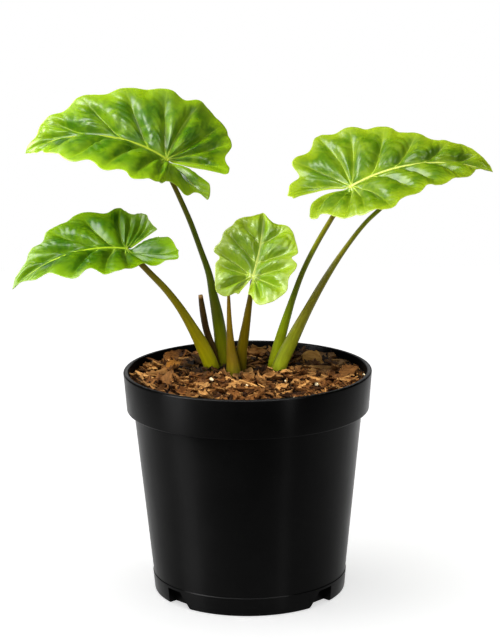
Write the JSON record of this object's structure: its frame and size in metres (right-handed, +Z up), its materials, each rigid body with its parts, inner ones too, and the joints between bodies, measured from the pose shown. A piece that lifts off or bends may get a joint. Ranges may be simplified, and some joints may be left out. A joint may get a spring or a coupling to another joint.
{
  "type": "potted alocasia plant",
  "caption": "Arrow-leaved foliage plant with waved leaves on long stalks, standing in bark mix in a plain round nursery pot.",
  "frame": {"origin": "centre of the pot's flat base, on the surface that it stands on", "axes": "+Z up along the pot's axis, -Y towards the front view, +X to the right in that view"},
  "size_m": [0.3818, 0.2427, 0.4044],
  "materials": {
    "pot_plastic": "satin black moulded plastic",
    "bark_mix": "rough shredded bark with a few white grains",
    "top_left_blade": "glossy yellow-green leaf with pale veins",
    "low_left_blade": "glossy green leaf with pale veins",
    "right_blade": "glossy green leaf with a pale yellow midrib",
    "rear_blade": "glossy green leaf with pale veins",
    "young_blade": "glossy pale yellow-green young leaf",
    "olive_stalk": "smooth dark olive stalk",
    "brown_stalk": "smooth brown-olive stalk",
    "green_stalk": "smooth green stalk, browner above",
    "pale_stalk": "smooth light olive stalk",
    "young_stalk": "smooth brown-olive stalk",
    "new_shoot": "rolled olive-brown shoot, green at its foot",
    "dry_stub": "dry dark brown stub with a tan cut end"
  },
  "bodies": {
    "root": {"pot": "pot_plastic", "potting_mix": "bark_mix", "top_left_leaf": "top_left_blade", "low_left_leaf": "low_left_blade", "right_leaf": "right_blade", "rear_leaf": "rear_blade", "young_leaf": "young_blade", "top_left_stalk": "olive_stalk", "low_left_stalk": "brown_stalk", "right_stalk": "green_stalk", "rear_stalk": "pale_stalk", "young_stalk": "young_stalk", "new_shoot": "new_shoot", "cut_stub": "dry_stub"}
  },
  "joints": []
}
